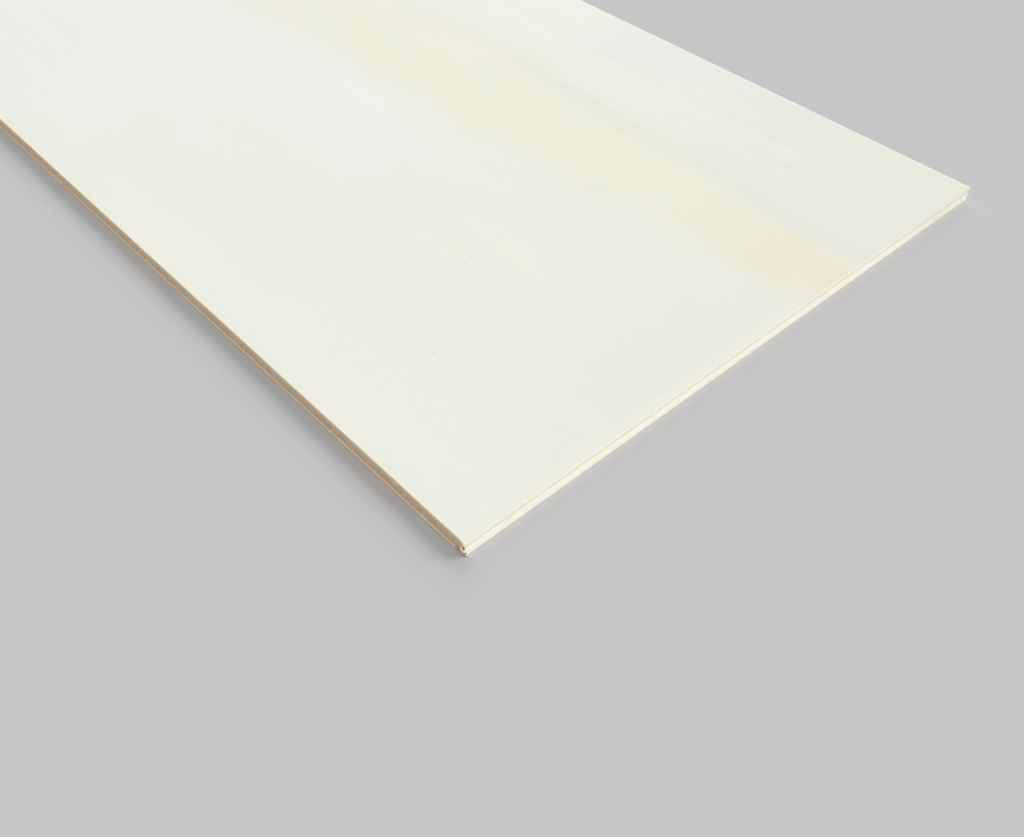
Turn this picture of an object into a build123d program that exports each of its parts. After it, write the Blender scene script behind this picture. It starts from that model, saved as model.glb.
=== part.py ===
from build123d import *
from math import cos, radians, sin
import os

# A rectangular sheet of three-ply plywood, lying flat on its back.
# Millimetres. Z points up through the plies.
# Y runs along the sheet and along the grain of both veneers.
# X runs across the sheet and along the grain of the core.
# The origin is the centre of the underside.

# Driving dimensions of the sheet
sheet_width = 150.0
sheet_length = 300.0
back_veneer_thickness = 1.0
core_ply_thickness = 1.6
face_veneer_thickness = 1.0
corner_radius = 0.3
arris_radius = 0.12

# Driving dimensions of the knocked corner, at low X and low Y.
# The outer fibres of the back veneer have torn off along the long edge, a
# splinter of them hangs on beside the tear, and a flake of the core has
# broken off under the face veneer.
tear_length = 2.3
tear_width = 0.27
tear_bundles = 3
flake_length = 0.86
flake_height = 1.3
flake_end_height = 0.26
flake_depth = 0.2
splinter_length = 1.9
splinter_width = 0.26
splinter_thickness = 0.28
splinter_tip = 0.05
splinter_root = 0.35
splinter_lean = 17.0
splinter_droop = 4.0

# The cutting shapes run this far past the sheet's outer faces
cut_overrun = 0.5

# Heights at which the plies meet
core_base = back_veneer_thickness
face_base = core_base + core_ply_thickness

# The knocked corner, with X and Y pointing into the sheet
corner_x = -sheet_width / 2
corner_y = -sheet_length / 2
knocked_corner = Plane((corner_x, corner_y, 0))

# The long edge at low X, seen from outside, with its normal pointing into the sheet
long_edge_face = Plane(origin=(corner_x, corner_y, 0), x_dir=(0, 1, 0), z_dir=(1, 0, 0))


def fibre_bundle(bundle):
    """Outline of one torn-out bundle of fibres, seen from above.

    The bundles lie side by side from the long edge inwards. Each has broken
    off shorter than the one outside it, and its broken end slopes."""
    bundle_width = tear_width / tear_bundles
    left = bundle * bundle_width
    right = left + bundle_width
    outer_reach = tear_length * (1 - bundle / tear_bundles)
    inner_reach = tear_length * (1 - (bundle + 0.6) / tear_bundles)
    if bundle == 0:
        left = -cut_overrun
    return [(left, -cut_overrun), (right, -cut_overrun), (right, inner_reach), (left, outer_reach)]


def flake_outline():
    """Outline of the core's broken flake on the long edge, as (Y, Z) from the knocked corner.

    It hangs from the face veneer, and its lower side slopes down to the corner."""
    return [
        (-cut_overrun, face_base),
        (-cut_overrun, face_base - flake_height),
        (0, face_base - flake_height),
        (flake_length, face_base - flake_end_height),
        (flake_length, face_base),
    ]


def splinter_start():
    """The splinter's root section, facing along the splinter.

    It lies inside the veneer beside the tear, above the rounded arris."""
    lean = radians(splinter_lean)
    droop = radians(splinter_droop)
    root = (
        corner_x + tear_width + splinter_width / 2,
        corner_y + splinter_root,
        arris_radius + splinter_thickness / 2,
    )
    along = (sin(lean) * cos(droop), -cos(lean) * cos(droop), -sin(droop))
    across = (cos(lean), sin(lean), 0)
    return Plane(origin=root, x_dir=across, z_dir=along)


# Back veneer: the ply that the sheet lies on, with its grain along Y
with BuildPart() as back_veneer:
    with BuildSketch(Plane.XY):
        RectangleRounded(sheet_width, sheet_length, corner_radius)
    extrude(amount=back_veneer_thickness)
    underside = back_veneer.faces().sort_by(Axis.Z)[0]
    fillet(underside.edges(), arris_radius)

    with BuildSketch(knocked_corner):
        for bundle in range(tear_bundles):
            with BuildLine():
                Polyline(*fibre_bundle(bundle), close=True)
            make_face()
    extrude(amount=back_veneer_thickness, mode=Mode.SUBTRACT)

    with BuildSketch(splinter_start()):
        Rectangle(splinter_width, splinter_thickness)
    with BuildSketch(splinter_start().offset(splinter_root + splinter_length)):
        Rectangle(splinter_tip, splinter_tip)
    loft()

# Core: the thick middle ply, with its grain along X
with BuildPart() as core_ply:
    with BuildSketch(Plane.XY.offset(core_base)):
        RectangleRounded(sheet_width, sheet_length, corner_radius)
    extrude(amount=core_ply_thickness)

    with BuildSketch(long_edge_face):
        with BuildLine():
            Polyline(*flake_outline(), close=True)
        make_face()
    extrude(amount=flake_depth, mode=Mode.SUBTRACT)

# Face veneer: the ply that shows, with its grain along Y
with BuildPart() as face_veneer:
    with BuildSketch(Plane.XY.offset(face_base)):
        RectangleRounded(sheet_width, sheet_length, corner_radius)
    extrude(amount=face_veneer_thickness)
    upper_face = face_veneer.faces().sort_by(Axis.Z)[-1]
    fillet(upper_face.edges(), arris_radius)

back_veneer.part.label = "back_veneer"
core_ply.part.label = "core_ply"
face_veneer.part.label = "face_veneer"

os.makedirs("parts", exist_ok=True)
export_step(back_veneer.part, "parts/back_veneer.step")
export_step(core_ply.part, "parts/core_ply.step")
export_step(face_veneer.part, "parts/face_veneer.step")
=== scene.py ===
import random
from math import cos, hypot, pi, radians, sin, sqrt

import bpy
from mathutils import Matrix, Vector
from mathutils.noise import noise


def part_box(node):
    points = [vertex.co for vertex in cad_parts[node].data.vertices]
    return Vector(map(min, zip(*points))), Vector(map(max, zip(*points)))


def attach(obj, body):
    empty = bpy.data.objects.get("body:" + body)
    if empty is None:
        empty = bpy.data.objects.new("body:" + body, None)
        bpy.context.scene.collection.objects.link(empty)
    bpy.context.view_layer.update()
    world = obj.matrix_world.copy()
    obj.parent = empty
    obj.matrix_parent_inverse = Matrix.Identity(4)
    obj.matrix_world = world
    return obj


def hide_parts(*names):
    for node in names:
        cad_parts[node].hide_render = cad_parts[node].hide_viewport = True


# A sheet of three-ply plywood, dressed for the picture.
# Shapes are worked out in millimetres, in the sheet's own frame: X across the sheet, Y along it
# and Z up through the plies. They become metres where a mesh is made.

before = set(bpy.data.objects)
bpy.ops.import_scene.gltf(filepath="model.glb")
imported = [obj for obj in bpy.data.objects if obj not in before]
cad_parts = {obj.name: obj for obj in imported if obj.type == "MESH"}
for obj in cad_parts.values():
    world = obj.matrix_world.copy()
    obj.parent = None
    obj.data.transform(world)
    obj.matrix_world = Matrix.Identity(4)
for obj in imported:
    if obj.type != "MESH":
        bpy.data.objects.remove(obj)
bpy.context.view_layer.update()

mm = 0.001

# The sheet's outer faces and the heights at which its plies meet
left, near, core_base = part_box("core_ply")[0] / mm
right, far, face_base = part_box("core_ply")[1] / mm
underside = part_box("back_veneer")[0].z / mm
upper_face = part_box("face_veneer")[1].z / mm
sheet_width = right - left
sheet_length = far - near

corner_radius = 0.3
arris_radius = 0.12

# How far from a face the nibbling of its arris reaches
nibble_height = 2.5 * arris_radius

# How far sanding has worn the upper arris back along the long edges, and how far down it reaches
long_arris_wear = 0.2
long_arris_height = 0.45

# Spacing of the points round the sheet, and how close they come at the knocked corner
coarse_step = 0.22
fine_step = 0.045
fine_reach = 3.2

# The glue lines: a shallow groove between the plies
groove_depth = 0.025
groove_height = 0.04

# Depths of the marks on the cut edges: on side grain, on end grain, and in a whole edge's wander
strand_depth = 0.008
hair_depth = 0.005
torn_strand_depth = 0.06
pore_depth = 0.060
lump_depth = 0.006
saw_mark_depth = 0.005
saw_mark_spacing = 0.74
wave_depth = 0.012
ripple_depth = 0.006

# How deep the arrises are worn, and bitten, where they are at their most ragged
worn_depth = 0.10
bite_depth = 0.28

# The torn-out bundles of fibres in the back veneer at the knocked corner
tear_length = 2.3
tear_width = 0.27
tear_bundles = 3
bundle_slant = 0.6

# The hollow that a flake has left in the core, under the face veneer
flake_length = 0.86
flake_height = 1.3
flake_end_height = 0.26
flake_depth = 0.24
flake_rim = 0.13
flake_end_slope = 1.6
flake_raggedness = 0.035

# The splinter of the back veneer that hangs on beside the tear
splinter_length = 1.9
splinter_width = 0.26
splinter_thickness = 0.28
splinter_root = 0.35
splinter_lean = radians(17)
splinter_droop = radians(4)
splinter_taper = 0.88

# The strip of core fibres that stands off beside the flake's hollow
lifted_width = 0.34
lifted_thickness = 0.10

# How far loose hairs keep from the corners, and on the long edges from the near ones, and how
# far raised grain keeps from the edges
hair_clearance = 0.8
near_clearance = 3 * hair_clearance
grain_clearance = 4

# The patch of the upper face where the sanding has left torn grain, and its small dark specks
rough_centre = -50, -102
rough_reach = 13, 40
specks = (-27.3, -94.0), (-49.5, -111.4), (-52.8, -126.2)
speck_radius = 0.08

# The greenish patches of the upper face, each by its centre and its half size
green_patches = (
    ((-39, -37), (11, 22)),
    ((-58, -64), (6, 18)),
    ((-20, -104), (14, 28)),
    ((52, -77), (8, 32)),
)

# Margins in the texture map: in its own units between areas, in millimetres between strips,
# and the share of an area that strips may fill
area_margin = 0.006
strip_gap = 0.15
area_fill = 0.965


def rounded(value, low, high):
    """Eases from 0 at low to 1 at high."""
    share = min(max((value - low) / (high - low), 0.0), 1.0)
    return share * share * (3 - 2 * share)


# Outline of a ply, seen from above


def step_at(x, y):
    """Distance to the next point: short near the knocked corner."""
    away = hypot(x - left, y - near)
    return fine_step + (coarse_step - fine_step) * rounded(away, fine_reach, 3 * fine_reach)


def run(start, end, normal, side):
    """Points along one straight edge, its last one left out."""
    (x, y), (end_x, end_y) = start, end
    length = hypot(end_x - x, end_y - y)
    along_x, along_y = (end_x - x) / length, (end_y - y) / length
    places = [0.0]
    while places[-1] < length:
        done = places[-1]
        places.append(done + step_at(x + along_x * done, y + along_y * done))
    stretch = length / places[-1]
    return [
        (x + along_x * at * stretch, y + along_y * at * stretch, *normal, side)
        for at in places[:-1]
    ]


def turn(centre_x, centre_y, start_angle, side_before, side_after, steps=6):
    """Points round one corner, through a quarter turn."""
    points = []
    for step in range(steps):
        angle = radians(start_angle + 90 * step / steps)
        side = side_before if step < steps / 2 else side_after
        normal = cos(angle), sin(angle)
        place = centre_x + corner_radius * normal[0], centre_y + corner_radius * normal[1]
        points.append((*place, *normal, side))
    return points


def near_right_and_far():
    """The outline from the knocked corner anticlockwise to the far end of the left edge."""
    r = corner_radius
    return [
        *run((left + r, near), (right - r, near), (0, -1), "near"),
        *turn(right - r, near + r, -90, "near", "right"),
        *run((right, near + r), (right, far - r), (1, 0), "right"),
        *turn(right - r, far - r, 0, "right", "far"),
        *run((right - r, far), (left + r, far), (0, 1), "far"),
        *turn(left + r, far - r, 90, "far", "left"),
    ]


def whole_outline():
    """A ply's outline with all four corners, as (x, y, normal x, normal y, side)."""
    r = corner_radius
    return [
        *near_right_and_far(),
        *run((left, far - r), (left, near + r), (-1, 0), "left"),
        *turn(left + r, near + r, 180, "left", "near"),
    ]


def torn_outline():
    """The back veneer's outline, with its torn-out bundles of fibres at the knocked corner."""
    r = corner_radius
    points = near_right_and_far()
    bundle_width = tear_width / tear_bundles
    start = left, far - r
    for bundle in range(tear_bundles):
        outer = left + bundle * bundle_width
        inner = outer + bundle_width
        outer_reach = near + tear_length * (1 - bundle / tear_bundles)
        inner_reach = near + tear_length * (1 - (bundle + bundle_slant) / tear_bundles)
        points += run(start, (outer, outer_reach), (-1, 0), "left" if bundle == 0 else "torn")
        points += run((outer, outer_reach), (inner, inner_reach), (-1, 0), "torn")
        start = inner, inner_reach
    points += run(start, (start[0], near + 3 * arris_radius), (-1, 0), "torn")
    # A single point at the corner keeps its two sides from crossing where they are pushed inwards
    points.append((start[0], near, -1, -1, "torn"))
    first = next(at for at, point in enumerate(points) if point[0] > left + 2 * r)
    return points[first:]


# Relief of the cut edges, in millimetres inwards. What a place is multiplied by in the noise is
# the number of marks in a millimetre, along the edge and up it.


def side_grain(along, height, seed):
    """Long thin strands that run along the edge, some of them torn away."""
    strand = noise((along * 0.22, height * 7.5, seed))
    hairs = noise((along * 0.9, height * 21.0, seed + 40))
    torn = max(0.0, noise((along * 0.35, height * 4.0, seed + 80)) - 0.35)
    return strand_depth * (1 + strand) + hair_depth * (1 + hairs) + torn_strand_depth * torn


def end_grain(along, height, seed):
    """Cut-off fibres: open pores, and the marks of the saw's teeth."""
    pore = max(0.0, noise((along * 4.2, height * 4.6, seed)) - 0.18)
    lump = noise((along * 1.1, height * 1.6, seed + 30))
    wander = 1.5 * noise((along * 0.3, 0.0, seed + 60))
    saw = sin(2 * pi * (along + 0.12 * height) / saw_mark_spacing + wander)
    return pore_depth * pore + lump_depth * (1 + lump) + saw_mark_depth * (1 + saw)


def waviness(along, seed):
    """The slow wander of a whole edge."""
    wave = noise((along * 0.045, seed, 0.0))
    ripple = noise((along * 0.3, seed, 5.0))
    return wave_depth * (1 + wave) + ripple_depth * (1 + ripple)


def arris_wear(along, seed, raggedness):
    """How far an arris is nibbled back."""
    worn = max(0.0, noise((along * 0.55, seed, 9.0)) - 0.15)
    bite = max(0.0, noise((along * 1.9, seed, 17.0)) - 0.30)
    return raggedness * (worn_depth * worn + bite_depth * bite)


def flake_hollow(y, z):
    """Depth of the hollow in the core, on the left edge at the knocked corner."""
    from_corner = y - near
    lower_side = flake_height + (flake_end_height - flake_height) * from_corner / flake_length
    from_end = (flake_length - from_corner) * flake_end_slope
    into = min(lower_side - (face_base - z), from_end)
    ragged = flake_raggedness * noise((from_corner * 6, z * 6, 3.0))
    return flake_depth * rounded(into + ragged, 0.0, flake_rim)


# Meshes


def make_mesh(name, points, faces, materials, slots=None, smooth=None, layout=None):
    """An object from points in millimetres. slots, smooth and layout are given face by face."""
    mesh = bpy.data.meshes.new(name)
    mesh.from_pydata([(x * mm, y * mm, z * mm) for x, y, z in points], [], faces)
    for material in materials:
        mesh.materials.append(material)
    mesh.polygons.foreach_set("material_index", slots or [0] * len(faces))
    mesh.polygons.foreach_set("use_smooth", smooth or [True] * len(faces))
    if layout:
        texture_map = mesh.uv_layers.new(name="OFBake")
        values = [value for face in layout for place in face for value in place]
        texture_map.data.foreach_set("uv", values)
    mesh.update()
    piece = bpy.data.objects.new(name, mesh)
    bpy.context.scene.collection.objects.link(piece)
    return piece


def distances(places, closed=False):
    """How far along their line each place lies, and the line's whole length if it closes."""
    reach = [0.0]
    for before, after in zip(places, places[1:] + places[:1] * closed):
        reach.append(reach[-1] + hypot(after[0] - before[0], after[1] - before[1]))
    return reach


def strip_layout(reach, heights, area):
    """Lays a ply's edge out on part of the texture map, cut into strips one above the other.

    Gives a function from a quad's place round the edge and its row to its four corners."""
    low_u, low_v, high_u, high_v = area
    height = heights[-1] + strip_gap
    scale = area_fill * sqrt((high_u - low_u) * (high_v - low_v) / (reach[-1] * height))
    strip_length = (high_u - low_u) / scale - coarse_step

    def corners(at, row):
        """The corners of one quad on the texture map."""
        strip, start = divmod(reach[at], strip_length)
        end = start + reach[at + 1] - reach[at]
        u, next_u = low_u + start * scale, low_u + end * scale
        base = strip * height
        v, next_v = (low_v + (base + heights[level]) * scale for level in (row, row + 1))
        return (u, v), (next_u, v), (next_u, next_v), (u, next_v)

    return corners


def flat_layout(points, area):
    """Lays a flat face out on part of the texture map."""
    low_u, low_v, high_u, high_v = area
    return [
        (
            low_u + (high_u - low_u) * (x - left) / sheet_width,
            low_v + (high_v - low_v) * (y - near) / sheet_length,
        )
        for x, y, _ in points
    ]


def map_area(low_u, low_v, high_u, high_v):
    """Part of the texture map, less the margin round it."""
    return low_u + area_margin, low_v + area_margin, high_u - area_margin, high_v - area_margin


def ply(name, outline, rows, push, side_slots, flat_slots, materials, areas):
    """A closed ply: rows of the outline one above the other, and a flat face below and above.

    push gives a point's place from its row's height and inset. flat_slots are the materials of the
    lower and upper face. areas are the parts of the texture map for those two and for the edge."""
    count = len(outline)
    points = [push(*at, z, inset) for z, inset in rows for at in outline]
    edge_corners = strip_layout(distances(outline, closed=True), distances(rows), areas[2])
    faces, slots, layout = [], [], []
    for row in range(len(rows) - 1):
        for at in range(count):
            low, next_low = row * count + at, row * count + (at + 1) % count
            faces.append((low, next_low, next_low + count, low + count))
            slots.append(side_slots[outline[at][4]])
            layout.append(edge_corners(at, row))
    smooth = [True] * len(faces) + [False, False]
    top = (len(rows) - 1) * count
    for face, area in ((range(count - 1, -1, -1), areas[0]), (range(top, top + count), areas[1])):
        faces.append(tuple(face))
        layout.append(flat_layout([points[at] for at in face], area))
    slots += flat_slots
    return make_mesh(name, points, faces, materials, slots, smooth, layout)


# Plies


def even_rows(low, high, count):
    """Rows evenly spaced from low to high, without inset."""
    return [(low + (high - low) * row / count, 0.0) for row in range(count + 1)]


def arris_rows(height, direction, steps=4):
    """Rows round an arris, from the edge to the flat face at this height. direction is 1 for up."""
    rows = []
    for step in range(1, steps + 1):
        angle = radians(90 * step / steps)
        from_face = arris_radius * (1 - sin(angle))
        rows.append((height - direction * from_face, arris_radius * (1 - cos(angle))))
    return rows


def pushed(x, y, normal_x, normal_y, inwards):
    """A point of the outline, moved inwards."""
    return x - normal_x * inwards, y - normal_y * inwards


def across_grain(side):
    """Whether the veneers' fibres end at this side."""
    return side in ("near", "far")


def push_face_veneer(x, y, normal_x, normal_y, side, z, inset):
    """The face veneer's edge: its upper arris is nibbled, and worn back along the long edges."""
    along = x if across_grain(side) else y
    relief = end_grain(along, z, 11.0) if across_grain(side) else side_grain(along, z, 12.0)
    wear = arris_wear(along, 21.0, 0.35) * rounded(z, upper_face - nibble_height, upper_face)
    if not across_grain(side):
        from_corner = rounded(min(y - near, far - y), corner_radius, 5 * corner_radius)
        highness = rounded(z, upper_face - long_arris_height, upper_face)
        wear += long_arris_wear * from_corner * highness
    fade = 1 - rounded(z, upper_face - arris_radius, upper_face)
    inwards = inset + waviness(along, 31.0) + relief * fade + wear
    return *pushed(x, y, normal_x, normal_y, inwards), z


def push_core(x, y, normal_x, normal_y, side, z, inset):
    """The core's edge, with the flake's hollow at the knocked corner."""
    along = x if across_grain(side) else y
    relief = side_grain(along, z, 13.0) if across_grain(side) else end_grain(along, z, 14.0)
    new_x, new_y = pushed(x, y, normal_x, normal_y, inset + waviness(along, 31.0) + relief)
    hollow = flake_hollow(new_y, z)
    edge_reach = 0.6
    if new_x < left + edge_reach and hollow > 0:
        new_x += hollow * (1 - (new_x - left) / edge_reach)
    return new_x, new_y, z


def push_back_veneer(x, y, normal_x, normal_y, side, z, inset):
    """The back veneer's edge: its lower arris is nibbled, most of all on the short edges."""
    along = x if across_grain(side) else y
    relief = end_grain(along, z, 15.0) if across_grain(side) else side_grain(along, z, 16.0)
    lowness = 1 - rounded(z, underside, underside + nibble_height)
    wear = arris_wear(along, 22.0, 1.0 if across_grain(side) else 0.5) * lowness
    fade = rounded(z, underside, underside + arris_radius)
    inwards = inset + waviness(along, 31.0) + relief * fade + wear
    return *pushed(x, y, normal_x, normal_y, inwards), z


# Loose fibres


def fibre(path, width, thickness, across, girths, sides=6):
    """Points and faces of one closed fibre along a path.

    across is the direction of its width. girths scale it at each point of the path."""
    points = []
    for at, place in enumerate(path):
        along = (path[min(at + 1, len(path) - 1)] - path[max(at - 1, 0)]).normalized()
        up = along.cross(across).normalized()
        level = up.cross(along)
        for side in range(sides):
            angle = 2 * pi * side / sides
            reach_across, reach_up = width / 2 * cos(angle), thickness / 2 * sin(angle)
            points.append(place + (level * reach_across + up * reach_up) * girths[at])
    faces = [tuple(range(sides - 1, -1, -1))]
    for base in range(0, len(points) - sides, sides):
        for side in range(sides):
            after = (side + 1) % sides
            faces.append((base + side, base + after, base + sides + after, base + sides + side))
    faces.append(tuple(range(len(points) - sides, len(points))))
    return points, faces


def join_fibres(name, fibres, material):
    """One mesh from several fibres."""
    points, faces = [], []
    for fibre_points, fibre_faces in fibres:
        base = len(points)
        points += fibre_points
        faces += [tuple(base + corner for corner in face) for face in fibre_faces]
    return make_mesh(name, points, faces, [material])


def splinter_fibre(lean, droop, reach, girth, bow):
    """One strand of the splinter, from its root inside the veneer to its tip."""
    root = Vector((
        left + tear_width + splinter_width / 2,
        near + splinter_root,
        underside + arris_radius + splinter_thickness / 2,
    ))
    along = Vector((sin(lean) * cos(droop), -cos(lean) * cos(droop), -sin(droop)))
    level = Vector((cos(lean), sin(lean), 0))
    steps = 10
    path, girths = [], []
    for step in range(steps + 1):
        share = step / steps
        aside = bow * sin(pi * share) + 0.02 * noise((share * 3.1, lean * 9, 2.0))
        path.append(root + along * (reach * share) + level * aside)
        narrowing = 1 - splinter_taper * share ** 1.3
        unevenness = 1 + 0.12 * noise((share * 7.0, droop * 30, 8.0))
        girths.append(girth * narrowing * unevenness)
    return fibre(path, splinter_width, splinter_thickness, level, girths)


def splinter_fibres():
    """The splinter, and two thinner strands that have split off beside it."""
    whole = splinter_root + splinter_length
    return [
        splinter_fibre(splinter_lean, splinter_droop, whole, 1.0, 0.05),
        splinter_fibre(splinter_lean + radians(9), radians(1), 0.62 * whole, 0.38, 0.09),
        splinter_fibre(splinter_lean - radians(7), radians(5), 0.45 * whole, 0.30, -0.04),
    ]


def lifted_flake():
    """The strip of core fibres that stands off the long edge along the hollow's lower side."""
    upper = Vector((left, near + flake_length + 0.08, face_base - flake_end_height + 0.12))
    lower = Vector((left, near + 0.04, face_base - flake_height - 0.02))
    downwards = (lower - upper).normalized()
    tilt = radians(38)
    across = Vector((sin(tilt), downwards.z * cos(tilt), -downwards.y * cos(tilt)))
    steps = 8
    path, girths = [], []
    for step in range(steps + 1):
        share = step / steps
        standing = 0.03 + 0.09 * sin(pi * share)
        path.append(upper.lerp(lower, share) - Vector((standing, 0, 0)))
        girths.append(0.25 + 0.75 * sin(pi * (0.12 + 0.80 * share)) ** 0.7)
    return fibre(path, lifted_width, lifted_thickness, across, girths)


def hair(chance, root, heading, length, thickness):
    """A short loose fibre that leaves the wood at root and bends a little on its way."""
    bend = Vector([chance.uniform(-0.35, 0.35) for _ in range(3)])
    shares = -0.25, 0.2, 0.6, 1.0
    path = [root + heading * length * share + bend * length * share * share for share in shares]
    for place in path:
        place.z = min(max(place.z, underside + thickness), upper_face - thickness)
    girths = 1.0, 0.9, 0.6, 0.15
    return fibre(path, thickness, thickness * 0.7, heading.orthogonal(), girths, sides=5)


def place_on_edge(chance, side, height):
    """A random place on one side of the sheet, and that side's outward direction."""
    if across_grain(side):
        outward = Vector((0, -1 if side == "near" else 1, 0))
        x = chance.uniform(left + hair_clearance, right - hair_clearance)
        return Vector((x, near if side == "near" else far, height)), outward
    outward = Vector((-1 if side == "left" else 1, 0, 0))
    y = chance.uniform(near + near_clearance, far - hair_clearance)
    return Vector((left if side == "left" else right, y, height)), outward


def end_fuzz(chance, sides, low, high, count):
    """Cut-off fibres that stand out of end grain."""
    hairs = []
    for at in range(count):
        root, outward = place_on_edge(chance, sides[at % len(sides)], chance.uniform(low, high))
        root -= outward * 0.02
        skew_x, skew_y = chance.uniform(-0.6, 0.6), chance.uniform(-0.6, 0.6)
        skew = Vector((skew_x, skew_y, chance.uniform(-0.5, 0.3)))
        heading = (outward + skew * 0.7).normalized()
        length = chance.uniform(0.10, 0.30)
        thickness = chance.uniform(0.03, 0.07)
        hairs.append(hair(chance, root, heading, length, thickness))
    return hairs


def side_hairs(chance, sides, low, high, count):
    """Long strands that have come loose along side grain."""
    hairs = []
    shares = -0.2, 0.1, 0.4, 0.7, 1.0
    girths = 1.0, 1.0, 0.8, 0.5, 0.12
    upwards = Vector((0, 0, 1))
    for at in range(count):
        root, outward = place_on_edge(chance, sides[at % len(sides)], chance.uniform(low, high))
        run_along = Vector((-outward.y, outward.x, 0)) * chance.choice((-1, 1))
        heading = (run_along + outward * chance.uniform(0.01, 0.05)).normalized()
        length = chance.uniform(0.6, 2.2)
        path = [root + heading * length * share for share in shares]
        hairs.append(fibre(path, chance.uniform(0.05, 0.09), 0.05, upwards, girths, sides=5))
    return hairs


def raised_grain(chance, x, y):
    """A sliver of the upper face's grain that the sanding has lifted."""
    length = chance.uniform(0.6, 2.4)
    heading = Vector((chance.uniform(-0.06, 0.06), 1, 0)).normalized()
    centre = Vector((x, y, upper_face - 0.008))
    path = [centre + heading * length * share for share in (-0.5, -0.3, 0.0, 0.3, 0.5)]
    girths = 0.08, 0.7, 1.0, 0.65, 0.05
    width, thickness = chance.uniform(0.22, 0.42), chance.uniform(0.045, 0.07)
    return fibre(path, width, thickness, Vector((1, 0, 0)), girths, sides=10)


def face_fibres():
    """Raised grain, thickest in the rough patch, and hairs along the face veneer's edges."""
    chance = random.Random(11)
    least_x, most_x = left + grain_clearance, right - grain_clearance
    least_y, most_y = near + grain_clearance, far - grain_clearance
    fibres = []
    for _ in range(90):
        x = chance.gauss(rough_centre[0], rough_reach[0] / 1.8)
        y = chance.gauss(rough_centre[1], rough_reach[1] / 1.9)
        fibres.append(raised_grain(chance, max(x, least_x), max(y, least_y)))
    for _ in range(110):
        x, y = chance.uniform(least_x, most_x), chance.uniform(least_y, most_y)
        fibres.append(raised_grain(chance, x, y))
    fibres += end_fuzz(chance, ("near", "far"), face_base + 0.1, upper_face - 0.15, 50)
    below_wear = upper_face - long_arris_height
    fibres += side_hairs(chance, ("left", "right"), face_base + 0.1, below_wear, 60)
    return fibres


def core_fibres():
    """The lifted strip, and hairs along the core's edges."""
    chance = random.Random(12)
    fibres = end_fuzz(chance, ("left", "right"), core_base + 0.1, face_base - 0.1, 220)
    fibres += side_hairs(chance, ("near", "far"), core_base + 0.1, face_base - 0.1, 24)
    return [lifted_flake(), *fibres]


def back_fibres():
    """Hairs along the back veneer's edges, most of them on its ragged lower arris."""
    chance = random.Random(13)
    fibres = end_fuzz(chance, ("near", "far"), underside + 0.08, core_base - 0.1, 120)
    fibres += end_fuzz(chance, ("near", "far"), underside + 0.08, underside + 0.3, 160)
    fibres += side_hairs(chance, ("left", "right"), underside + 0.15, core_base - 0.1, 60)
    return fibres


# Shader nodes. Most of these add nodes to a material's tree and give the socket that they end in.


def srgb(red, green, blue):
    """A colour as a screen shows it, 0 to 255, in the linear values that a shader takes."""
    linear = []
    for value in (red, green, blue):
        share = value / 255
        linear.append(share / 12.92 if share < 0.0405 else ((share + 0.055) / 1.055) ** 2.4)
    return *linear, 1.0


def feed(tree, socket, value):
    """Links a socket to another one, or sets it to a plain value."""
    if isinstance(value, bpy.types.NodeSocket):
        tree.links.new(value, socket)
    else:
        socket.default_value = value


def vector_math(tree, operation, first, second=None, scale=None):
    """One operation on vectors. A distance comes out as a number."""
    node = tree.nodes.new("ShaderNodeVectorMath")
    node.operation = operation
    feed(tree, node.inputs[0], first)
    if second is not None:
        feed(tree, node.inputs[1], second)
    if scale is not None:
        feed(tree, node.inputs["Scale"], scale)
    return node.outputs["Value"] if operation == "DISTANCE" else node.outputs["Vector"]


def number_math(tree, operation, first, second=0.0):
    """One operation on one or two numbers."""
    node = tree.nodes.new("ShaderNodeMath")
    node.operation = operation
    feed(tree, node.inputs[0], first)
    feed(tree, node.inputs[1], second)
    return node.outputs[0]


def plus(tree, first, second):
    return number_math(tree, "ADD", first, second)


def minus(tree, first, second):
    return number_math(tree, "SUBTRACT", first, second)


def times(tree, first, *others):
    for other in others:
        first = number_math(tree, "MULTIPLY", first, other)
    return first


def away_from(tree, value, centre):
    """How far a value is from centre, on either side."""
    return number_math(tree, "ABSOLUTE", minus(tree, value, centre))


def cloud(tree, place, size, seed, detail=3.0, roughness=0.6):
    """Noise from 0 to 1 whose patches have this size in millimetres along X, Y and Z."""
    stretched = vector_math(tree, "MULTIPLY", place, tuple(1 / length for length in size))
    shifted = vector_math(tree, "ADD", stretched, (17.3 * seed, 31.7 * seed, 11.9 * seed))
    node = tree.nodes.new("ShaderNodeTexNoise")
    feed(tree, node.inputs["Vector"], shifted)
    node.inputs["Scale"].default_value = 1.0
    node.inputs["Detail"].default_value = detail
    node.inputs["Roughness"].default_value = roughness
    return node.outputs["Fac"]


def soft_cloud(tree, place, size, seed):
    """A cloud with less fine detail in it."""
    return cloud(tree, place, size, seed, detail=2.0, roughness=0.5)


def ease(tree, value, low, high, out_low=0.0, out_high=1.0):
    """Value remapped with soft ends: out_low at low, out_high at high."""
    node = tree.nodes.new("ShaderNodeMapRange")
    node.interpolation_type = "SMOOTHSTEP"
    feed(tree, node.inputs["Value"], value)
    node.inputs["From Min"].default_value = low
    node.inputs["From Max"].default_value = high
    node.inputs["To Min"].default_value = out_low
    node.inputs["To Max"].default_value = out_high
    return node.outputs["Result"]


def blend(tree, share, first, second):
    """The first colour where share is 0, the second where it is 1."""
    node = tree.nodes.new("ShaderNodeMix")
    node.data_type = "RGBA"
    feed(tree, node.inputs["Factor"], share)
    feed(tree, node.inputs["A"], first)
    feed(tree, node.inputs["B"], second)
    return node.outputs["Result"]


def shade(tree, colour, amount, low, high):
    """Darkens or lightens a colour: times low where amount is 0, times high where it is 1."""
    return vector_math(tree, "SCALE", colour, scale=ease(tree, amount, 0.0, 1.0, low, high))


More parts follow.
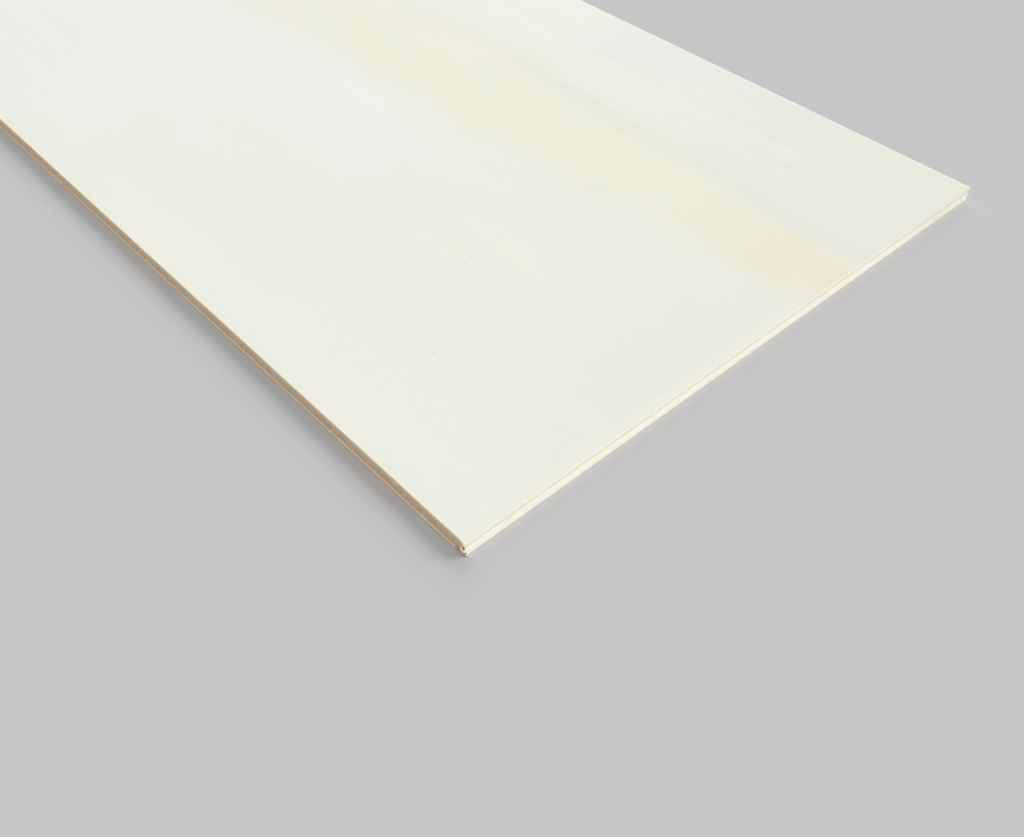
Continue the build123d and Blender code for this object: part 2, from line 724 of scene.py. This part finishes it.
def band(tree, value, centre, half_width, softness):
    """1 within half_width of centre, easing to 0."""
    away = away_from(tree, value, centre)
    return ease(tree, away, half_width, half_width + softness, 1.0, 0.0)


def spot(tree, place, centre, radius, softness):
    """1 within radius of a point, easing to 0."""
    away = vector_math(tree, "DISTANCE", place, centre)
    return ease(tree, away, radius, radius + softness, 1.0, 0.0)


def oval(tree, place, centre, reach):
    """How far out a place lies in an oval seen from above: 0 in its middle, 1 at its border."""
    offset = vector_math(tree, "SUBTRACT", place, (*centre, 0))
    shares = vector_math(tree, "MULTIPLY", offset, (1 / reach[0], 1 / reach[1], 0))
    return vector_math(tree, "DISTANCE", shares, (0, 0, 0))


def split(tree, place):
    """The X, Y and Z of a place."""
    node = tree.nodes.new("ShaderNodeSeparateXYZ")
    feed(tree, node.inputs[0], place)
    return node.outputs


def start_material(name, roughness, sheen=0.3):
    """A material, its node tree, its shader, and the place on the sheet in millimetres."""
    material = bpy.data.materials.new(name)
    material.use_nodes = True
    tree = material.node_tree
    shader = tree.nodes["Principled BSDF"]
    shader.inputs["Roughness"].default_value = roughness
    shader.inputs["Specular IOR Level"].default_value = sheen
    coordinates = tree.nodes.new("ShaderNodeTexCoord")
    place = vector_math(tree, "SCALE", coordinates.outputs["Object"], scale=1 / mm)
    return material, tree, shader, place


def set_surface(tree, shader, colour, height, depth):
    """Gives a material its colour, and relief from a height of 0 to 1, depth in millimetres."""
    tree.links.new(colour, shader.inputs["Base Color"])
    node = tree.nodes.new("ShaderNodeBump")
    node.inputs["Strength"].default_value = 1.0
    node.inputs["Distance"].default_value = depth * mm
    feed(tree, node.inputs["Height"], height)
    tree.links.new(node.outputs["Normal"], shader.inputs["Normal"])


# Materials of the two faces. Places on the sheet are in millimetres from its centre.


def sanded_grain(tree, shader, place, colour, contrast, seed):
    """Fine grain along Y on a sanded face: colour, sheen and relief."""
    figure = cloud(tree, place, (9, 60, 9), seed, roughness=0.55)
    strands = cloud(tree, place, (0.9, 16, 0.9), seed + 1)
    fibres = cloud(tree, place, (0.16, 3.5, 0.16), seed + 2, detail=4.0)
    colour = shade(tree, colour, figure, 1 - 0.015 * contrast, 1 + 0.012 * contrast)
    colour = shade(tree, colour, strands, 1 - 0.014 * contrast, 1 + 0.012 * contrast)
    colour = shade(tree, colour, fibres, 1 - 0.026 * contrast, 1 + 0.022 * contrast)
    tree.links.new(ease(tree, strands, 0.2, 0.8, 0.56, 0.68), shader.inputs["Roughness"])
    return colour, plus(tree, fibres, strands)


def streak_over(tree, place, x, y, colour):
    """The streak of heartwood along the grain: straw, ragged at its borders, with peach in it."""
    straw = srgb(236.5, 236.5, 218)
    peach = srgb(242, 235.5, 214)
    deep_straw = srgb(237, 230.5, 208)

    borders = cloud(tree, place, (7, 20, 7), seed=22, detail=4.0)
    ragged_x = plus(tree, x, ease(tree, borders, 0.25, 0.75, -4.5, 4.5))
    from_left = minus(tree, ragged_x, ease(tree, y, -160, 20, 14.5, 5.0))
    from_right = minus(tree, ragged_x, ease(tree, y, -150, -60, 33.0, 40.5))
    weak = times(tree, ease(tree, x, 20, 27, 0.0, 0.5), ease(tree, y, -48, -26))
    strength = minus(tree, ease(tree, y, 50, -40, 0.65, 1.0), weak)

    inside = times(tree, ease(tree, from_left, -8.0, 4.5), ease(tree, from_right, 4.0, -5.0))
    colour = blend(tree, times(tree, inside, strength), colour, straw)
    patches = cloud(tree, place, (4.5, 17, 4.5), seed=23, detail=4.0)
    middle = times(tree, ease(tree, from_left, -1.0, 6.0), ease(tree, from_right, -3.0, -10.0))
    patched = times(tree, ease(tree, patches, 0.42, 0.62), middle, strength, 0.85)
    colour = blend(tree, patched, colour, peach)
    body = times(tree, ease(tree, from_left, -1.0, 5.0), ease(tree, from_right, 1.0, -7.0))
    near_end = ease(tree, y, -104, -150)
    return blend(tree, times(tree, body, near_end), colour, deep_straw)


def soft_tones(tree, place, x, y, colour):
    """The slow changes of tone over the face: cooler and lighter parts, and greenish patches, with
    painted light: a painted sheen lightens the far left, and painted shade darkens the near end.
    """
    # Painted sheen: the far left of the face is lighter.
    drift = cloud(tree, place, (16, 30, 16), seed=4, detail=4.0)
    slant = plus(tree, y, times(tree, x, 1.2))
    slant = plus(tree, slant, ease(tree, drift, 0.25, 0.75, -26.0, 26.0))
    from_streak = minus(tree, x, ease(tree, y, -70, -10, -6.0, 6.0))
    far_left_painted_sheen = times(tree, ease(tree, slant, -88, -60), ease(tree, from_streak, 8, -8))
    colour = blend(tree, far_left_painted_sheen, colour, srgb(239.5, 240, 233))

    along_left = times(tree, ease(tree, x, -48, -68), ease(tree, y, 20, -30), 0.8)
    colour = blend(tree, along_left, colour, srgb(241.5, 240.5, 229))
    along_right = ease(tree, x, 42, 56)
    colour = blend(tree, along_right, colour, srgb(239, 239, 231))
    middle_right = times(tree, ease(tree, x, 44, 58), ease(tree, y, -34, -56))
    colour = blend(tree, middle_right, colour, srgb(234, 235.5, 228))
    near_right = times(tree, ease(tree, x, 32, 39), ease(tree, y, -66, -116))
    colour = blend(tree, near_right, colour, srgb(233, 234.5, 222))

    borders = cloud(tree, place, (7, 20, 7), seed=5, detail=4.0)
    ragged = ease(tree, borders, 0.25, 0.75, -0.7, 0.7)
    for centre, reach in green_patches:
        outwards = plus(tree, oval(tree, place, centre, reach), ragged)
        inside = ease(tree, outwards, 1.25, 0.55, 0.0, 0.8)
        colour = blend(tree, inside, colour, srgb(236, 239.5, 224))

    # Painted shade: the face is darker towards the near end.
    near_end = times(tree, ease(tree, x, -55, -20, 0.2, 0.85), ease(tree, y, -115, -148))
    return blend(tree, near_end, colour, srgb(234.5, 234, 222))


def grey_line_over(tree, place, x, y, colour):
    """The grey line that runs along the streak's right-hand border."""
    from_line = minus(tree, x, ease(tree, y, -60, -150, 37.6, 35.0))
    across = band(tree, from_line, 0.0, 0.6, 4.6)
    along = ease(tree, y, 10, -50, 0.35, 0.85)
    uneven = ease(tree, cloud(tree, place, (6, 22, 6), seed=9), 0.35, 0.62, 0.4, 1.0)
    return blend(tree, times(tree, across, along, uneven), colour, srgb(231, 231.5, 218.5))


def arris_painted_highlights(tree, edge_x, x, y, colour):
    """Painted highlights: lighter strips along the arrises, warmer at the left, where the rounded
    arris catches the light.

    edge_x is measured straight from the edges, and x wanders a little as the grain does."""
    left_strip = ease(tree, edge_x, left + 1.05, left + 0.4)
    colour = blend(tree, left_strip, colour, srgb(245, 239.5, 221))
    right_strip = ease(tree, edge_x, right - 1.3, right - 0.4)
    colour = blend(tree, right_strip, colour, srgb(238, 238.5, 232))
    near_strip = times(tree, ease(tree, y, near + 3.0, near + 0.6, 0.0, 0.8), ease(tree, x, 16, 4))
    return blend(tree, near_strip, colour, srgb(239, 238.5, 224.5))


def upper_face_material():
    """The sanded upper face: very pale, with a straw and peach streak and a grey line."""
    material, tree, shader, place = start_material("upper face", 0.62)
    edge_x, y = split(tree, place)[:2]
    wander = soft_cloud(tree, place, (60, 75, 60), seed=1)
    x = plus(tree, edge_x, ease(tree, wander, 0.25, 0.75, -2.0, 2.0))

    colour = soft_tones(tree, place, x, y, srgb(238.5, 237.5, 225.5))
    colour = streak_over(tree, place, x, y, colour)
    colour = grey_line_over(tree, place, x, y, colour)

    colour, relief = sanded_grain(tree, shader, place, colour, contrast=1.0, seed=3)
    flecks = soft_cloud(tree, place, (0.6, 1.9, 0.6), seed=8)
    rough = ease(tree, oval(tree, place, rough_centre, rough_reach), 0.5, 1.4, 1.0, 0.0)
    torn = times(tree, rough, ease(tree, flecks, 0.54, 0.70))
    colour = shade(tree, colour, torn, 1.0, 1.03)
    colour = arris_painted_highlights(tree, edge_x, x, y, colour)
    for speck_x, speck_y in specks:
        dot = spot(tree, place, (speck_x, speck_y, upper_face), speck_radius, 0.2)
        colour = shade(tree, colour, dot, 1.0, 0.66)
    set_surface(tree, shader, colour, plus(tree, relief, times(tree, torn, 1.3)), depth=0.012)
    return material


def underside_material():
    """The back veneer's outer face: a warmer tan, with the arched figure of flat-sliced wood."""
    material, tree, shader, place = start_material("underside", 0.64)
    x = split(tree, place)[0]
    arches = cloud(tree, place, (46, 300, 46), seed=41, detail=2.0, roughness=0.45)
    rings = plus(tree, times(tree, arches, 26), times(tree, x, 0.05))
    line = number_math(tree, "FRACT", rings)
    latewood = times(tree, ease(tree, line, 0.35, 0.88), ease(tree, line, 1.0, 0.93))
    tone = soft_cloud(tree, place, (24, 190, 24), seed=42)
    colour = blend(tree, ease(tree, tone, 0.3, 0.7), srgb(232, 219, 194), srgb(225, 209, 180))
    colour = blend(tree, times(tree, latewood, 0.42), colour, srgb(208, 185, 150))
    colour, relief = sanded_grain(tree, shader, place, colour, contrast=2.4, seed=43)
    pores = soft_cloud(tree, place, (0.22, 1.3, 0.22), seed=47)
    colour = shade(tree, colour, ease(tree, pores, 0.66, 0.78), 1.0, 0.86)
    set_surface(tree, shader, colour, relief, depth=0.02)
    return material


# Materials of the cut edges


def mottled(tree, place, colour, other, size, seed):
    """Two colours of wood in soft patches."""
    patches = cloud(tree, place, size, seed, detail=2.0, roughness=0.55)
    return blend(tree, ease(tree, patches, 0.35, 0.65), srgb(*colour), srgb(*other))


def glue_line(tree, place, colour, height, half_width, strength):
    """The grey glue between two plies, of uneven thickness."""
    wander = cloud(tree, place, (0.9, 0.9, 5), seed=51)
    squeeze = cloud(tree, place, (4, 4, 9), seed=52)
    z = plus(tree, split(tree, place)[2], ease(tree, wander, 0.2, 0.8, -0.06, 0.06))
    line = band(tree, z, height, half_width, half_width)
    uneven = ease(tree, squeeze, 0.3, 0.6, 0.35, 1.0)
    return blend(tree, times(tree, line, uneven, strength), colour, srgb(197, 195, 178))


def warm_foot_and_painted_bounce(tree, place, colour):
    """Warmer along the foot of a short edge, partly warmer wood and partly painted warm bounced
    light: a thin ragged darker line, partly painted contact shade, and blotches above it.
    """
    coordinates = split(tree, place)
    x, z = coordinates[0], coordinates[2]
    fade = ease(tree, x, 62, 46, 0.25, 0.8)
    blotches = soft_cloud(tree, place, (2.2, 2.2, 0.9), seed=53)
    low = ease(tree, z, core_base + 0.5, core_base - 0.2)
    share = times(tree, ease(tree, blotches, 0.56, 0.68), low, fade)
    colour = blend(tree, share, colour, srgb(242, 226, 206))
    ragged = times(tree, cloud(tree, place, (0.8, 0.8, 2.0), seed=54), 0.35)
    foot = ease(tree, plus(tree, z, ragged), underside + 0.42, underside + 0.18)
    return blend(tree, times(tree, foot, fade), colour, srgb(228, 208, 180))


def painted_shade_right_end(tree, place, colour):
    """Painted shade: the short edges are darker towards the right-hand corner, where less bounced
    light reaches them.
    """
    x = split(tree, place)[0]
    return shade(tree, colour, ease(tree, x, 40, 62), 1.0, 0.92)


def pored(tree, place, colour, seed):
    """The small dark openings of cut-off pores. Gives the colour and the pores."""
    pores = cloud(tree, place, (0.13, 0.13, 0.13), seed, detail=1.0, roughness=0.5)
    holes = ease(tree, pores, 0.58, 0.72)
    return shade(tree, colour, holes, 1.0, 0.88), holes


def veneer_side_material(name, colour, other, outer_face, outer_painted_colour, outer_reach):
    """A veneer's long edge: side grain in fine strands, and another tone towards its outer face,
    which is painted light: a painted highlight along the face veneer's upper arris, painted contact
    shade along the back veneer's foot.
    """
    material, tree, shader, place = start_material(name, 0.7)
    mixed = mottled(tree, place, colour, other, (3, 4, 1.4), seed=61)
    from_face = away_from(tree, split(tree, place)[2], outer_face)
    outer_painted_light = ease(tree, from_face, outer_reach, 0.10)
    mixed = blend(tree, outer_painted_light, mixed, srgb(*outer_painted_colour))
    strands = cloud(tree, place, (3, 4, 0.09), seed=62, detail=4.0)
    mixed = shade(tree, mixed, strands, 0.84, 1.14)
    set_surface(tree, shader, mixed, strands, depth=0.02)
    return material


def veneer_end_material(name, colour, other, glue_height, glue_strength):
    """A veneer's short edge: end grain, with the glue line on the side where the core lies."""
    material, tree, shader, place = start_material(name, 0.74)
    mixed = mottled(tree, place, colour, other, (3.5, 3.5, 1.2), seed=63)
    rays = cloud(tree, place, (0.25, 0.25, 1.6), seed=64)
    mixed = shade(tree, mixed, rays, 0.94, 1.05)
    mixed, holes = pored(tree, place, mixed, seed=65)
    mixed = warm_foot_and_painted_bounce(tree, place, mixed)
    mixed = painted_shade_right_end(tree, place, mixed)
    # Painted shade: the rounded upper arris is a shade darker than the wood on both sides of it, to
    # take back the extra light it catches.
    arris = band(tree, split(tree, place)[2], upper_face - 0.045, 0.02, 0.06)
    mixed = shade(tree, mixed, arris, 1.0, 0.965)
    mixed = glue_line(tree, place, mixed, glue_height, 0.06, glue_strength)
    set_surface(tree, shader, mixed, minus(tree, rays, holes), depth=0.02)
    return material


def core_side_material():
    """The core on the short edges: bright side grain that runs along the edge."""
    material, tree, shader, place = start_material("core side grain", 0.68)
    mixed = mottled(tree, place, (239.5, 240, 224), (244, 234, 219), (4.5, 4.5, 1.8), seed=66)
    # Painted shade, in part: the core is darker just under the face veneer's glue line, where less
    # bounced light from below reaches it.
    under_glue = ease(tree, split(tree, place)[2], face_base - 1.0, face_base - 0.1)
    mixed = blend(tree, under_glue, mixed, srgb(229, 227, 212))
    strands = cloud(tree, place, (4.5, 3, 0.10), seed=67, detail=4.0, roughness=0.62)
    mixed = shade(tree, mixed, strands, 0.94, 1.05)
    mixed = warm_foot_and_painted_bounce(tree, place, mixed)
    mixed = painted_shade_right_end(tree, place, mixed)
    mixed = glue_line(tree, place, mixed, face_base, 0.07, 1.0)
    mixed = glue_line(tree, place, mixed, core_base, 0.04, 0.2)
    set_surface(tree, shader, mixed, strands, depth=0.025)
    return material


def core_end_material():
    """The core on the long edges: brown end grain, with a bruise by the knocked corner."""
    material, tree, shader, place = start_material("core end grain", 0.78)
    mixed = mottled(tree, place, (209, 191, 156), (216, 187, 159), (3.0, 3.0, 2.0), seed=68)
    marks = cloud(tree, place, (0.3, 0.3, 1.2), seed=69, roughness=0.62)
    lumps = soft_cloud(tree, place, (1.3, 1.3, 0.9), seed=70)
    mixed = shade(tree, mixed, marks, 0.62, 1.38)
    mixed = shade(tree, mixed, lumps, 0.85, 1.15)
    mixed, holes = pored(tree, place, mixed, seed=71)
    bruise = spot(tree, place, (left, near + 1.2, core_base + 0.3), 0.4, 0.8)
    mixed = blend(tree, times(tree, bruise, 0.75), mixed, srgb(205, 162, 138))
    # Painted shade: the floor of the flake's hollow is darkened, as the recess lies in shade.
    deep = ease(tree, split(tree, place)[0], left + 0.08, left + 0.2)
    hollow = spot(tree, place, (left, near, face_base - 0.6), 1.2, 0.3)
    mixed = blend(tree, times(tree, deep, hollow, 0.85), mixed, srgb(140, 118, 96))
    for height in (face_base, core_base):
        mixed = glue_line(tree, place, mixed, height, 0.05, 0.35)
    set_surface(tree, shader, mixed, minus(tree, marks, holes), depth=0.03)
    return material


def torn_wood_material(name, colour, other):
    """Split fibres: clean wood in long fine strands, bright unless it is given dark colours for
    painted shade.
    """
    material, tree, shader, place = start_material(name, 0.6)
    mixed = mottled(tree, place, colour, other, (0.5, 1.2, 0.5), seed=72)
    strands = cloud(tree, place, (0.05, 0.6, 0.05), seed=73)
    mixed = shade(tree, mixed, strands, 0.93, 1.05)
    set_surface(tree, shader, mixed, strands, depth=0.012)
    return material


# Floor, light and camera

floor_colour = srgb(199, 199, 201)
world_level = 0.385

# In metres: far enough off to light the whole sheet evenly
lamp_distance = 60.0
lamp_size = 0.64 * lamp_distance


def add_floor():
    """A plain pale floor, large enough to fill the view."""
    half = 3000
    points = [(-half, -half, 0), (half, -half, 0), (half, half, 0), (-half, half, 0)]
    material, _, shader, _ = start_material("floor", 0.9, 0.1)
    shader.inputs["Base Color"].default_value = floor_colour
    floor = make_mesh("floor", points, [(0, 1, 2, 3)], [material], smooth=[False])


def add_world():
    """Even light from all round, which looks like the floor wherever it is seen."""
    world = bpy.data.worlds.new("studio")
    world.use_nodes = True
    tree = world.node_tree
    rays = tree.nodes.new("ShaderNodeLightPath").outputs
    seen = number_math(tree, "MAXIMUM", rays["Is Camera Ray"], rays["Is Glossy Ray"])
    seen = number_math(tree, "MAXIMUM", seen, rays["Is Transmission Ray"])
    light = (world_level, world_level, world_level, 1.0)
    colour = blend(tree, seen, light, floor_colour)
    tree.links.new(colour, tree.nodes["Background"].inputs["Color"])
    bpy.context.scene.world = world


def add_lamp(name, heading, elevation, level):
    """A broad soft lamp. level is the brightness that it gives to a white surface facing it."""
    data = bpy.data.lights.new(name, "AREA")
    data.shape = "SQUARE"
    data.size = lamp_size
    data.energy = level * (pi * lamp_distance) ** 2
    lamp = bpy.data.objects.new(name, data)
    direction = Vector(heading).normalized() * cos(elevation) + Vector((0, 0, sin(elevation)))
    lamp.location = direction * lamp_distance
    lamp.rotation_euler = direction.to_track_quat("Z", "Y").to_euler()
    bpy.context.scene.collection.objects.link(lamp)


def add_camera():
    """The camera stands off the knocked corner and looks down across the sheet."""
    data = bpy.data.cameras.new("camera")
    data.sensor_width = 36
    data.lens = 38.763
    data.clip_start = 0.01
    camera = bpy.data.objects.new("camera", data)
    # Distances in sheet widths from the knocked corner's upper tip
    camera.location = Vector((
        left - 0.44600 * sheet_width,
        near - 0.58189 * sheet_width,
        upper_face + 0.95830 * sheet_width,
    )) * mm
    heading, pitch, roll = radians(41.689), radians(46.161), radians(-0.450)
    level = Vector((cos(heading), -sin(heading), 0))
    ahead = Vector((sin(heading), cos(heading), 0))
    forward = ahead * cos(pitch) - Vector((0, 0, sin(pitch)))
    up = ahead * sin(pitch) + Vector((0, 0, cos(pitch)))
    image_right = level * cos(roll) + up * sin(roll)
    image_up = up * cos(roll) - level * sin(roll)
    camera.rotation_euler = Matrix((image_right, image_up, -forward)).transposed().to_euler()
    bpy.context.scene.collection.objects.link(camera)
    bpy.context.scene.camera = camera


# The sheet

core_end = core_end_material()
# The face veneer's outer colour is a painted highlight along its upper arris.
face_side = veneer_side_material(
    "face veneer side grain", (210, 197, 164), (218, 192, 165),
    upper_face, outer_painted_colour=(241, 236, 218), outer_reach=0.20,
)
face_end = veneer_end_material(
    "face veneer end grain", (234, 233, 218), (235, 232, 216),
    glue_height=face_base, glue_strength=1.0,
)
# The back veneer's outer colour is painted contact shade, darker towards the underside.
back_side = veneer_side_material(
    "back veneer side grain", (250, 231, 203), (247, 225, 197),
    underside, outer_painted_colour=(216, 194, 164), outer_reach=0.62,
)
back_end = veneer_end_material(
    "back veneer end grain", (240, 236, 220), (241, 233, 215),
    glue_height=core_base, glue_strength=0.2,
)
torn_back = torn_wood_material("splinter wood", (240, 226, 202), (236, 216, 186))
# The torn back veneer is given dark colours: painted shade in its recess under the core.
torn_veneer_painted_shade = torn_wood_material("torn back veneer", (207, 174, 146), (186, 151, 124))
torn_core = torn_wood_material("torn core", (238, 210, 188), (232, 200, 178))
lifted_face = torn_wood_material("raised grain", (242, 241, 230), (240, 239, 227))

# Rows of points up each ply's edge, by height and inset
face_rows = [
    (face_base, groove_depth),
    *even_rows(face_base + groove_height, upper_face - arris_radius, 7),
    *arris_rows(upper_face, 1),
]
core_rows = [
    (core_base, groove_depth),
    *even_rows(core_base + groove_height, face_base - groove_height, 14),
    (face_base, groove_depth),
]
back_rows = [
    *reversed(arris_rows(underside, -1)),
    *even_rows(underside + arris_radius, core_base - groove_height, 7),
    (core_base, groove_depth),
]

# Areas of each ply's texture map
outer_area = map_area(0.0, 0.0, 0.5, 1.0)
hidden_area = map_area(0.5, 0.84, 1.0, 1.0)
veneer_edge_area = map_area(0.5, 0.0, 1.0, 0.84)
core_lower_area = map_area(0.0, 0.84, 0.5, 1.0)
core_edge_area = map_area(0.0, 0.0, 1.0, 0.84)

face_veneer = ply(
    "face_veneer_finish", whole_outline(), face_rows, push_face_veneer,
    side_slots={"near": 2, "far": 2, "left": 1, "right": 1},
    flat_slots=[1, 0],
    materials=[upper_face_material(), face_side, face_end],
    areas=(hidden_area, outer_area, veneer_edge_area),
)
core = ply(
    "core_finish", whole_outline(), core_rows, push_core,
    side_slots={"near": 1, "far": 1, "left": 0, "right": 0},
    flat_slots=[0, 0],
    materials=[core_end, core_side_material()],
    areas=(core_lower_area, hidden_area, core_edge_area),
)
back_veneer = ply(
    "back_veneer_finish", torn_outline(), back_rows, push_back_veneer,
    side_slots={"near": 2, "far": 2, "left": 1, "right": 1, "torn": 3},
    flat_slots=[0, 1],
    materials=[underside_material(), back_side, back_end, torn_veneer_painted_shade],
    areas=(outer_area, hidden_area, veneer_edge_area),
)
splinter = join_fibres("splinter", splinter_fibres(), torn_back)

for piece, node in (
    (face_veneer, "face_veneer"),
    (core, "core_ply"),
    (back_veneer, "back_veneer"),
    (splinter, "back_veneer"),
):
    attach(piece, "root")
    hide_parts(node)

for name, fibres, material, slot in (
    ("raised_grain", face_fibres(), lifted_face, "face_veneer"),
    ("core_fibres", core_fibres(), torn_core, "core_ply"),
    ("back_veneer_fibres", back_fibres(), torn_back, "back_veneer"),
):
    piece = join_fibres(name, fibres, material)
    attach(piece, "root")

add_floor()
add_world()
add_lamp("key", (0.85, -0.53, 0), radians(38), level=0.425)
add_lamp("fill", (-0.30, -0.954, 0), radians(24), level=0.585)
add_lamp("back", (0.70, 0.70, 0), radians(33), level=0.315)
add_camera()
bpy.context.scene.view_settings.view_transform = "Standard"
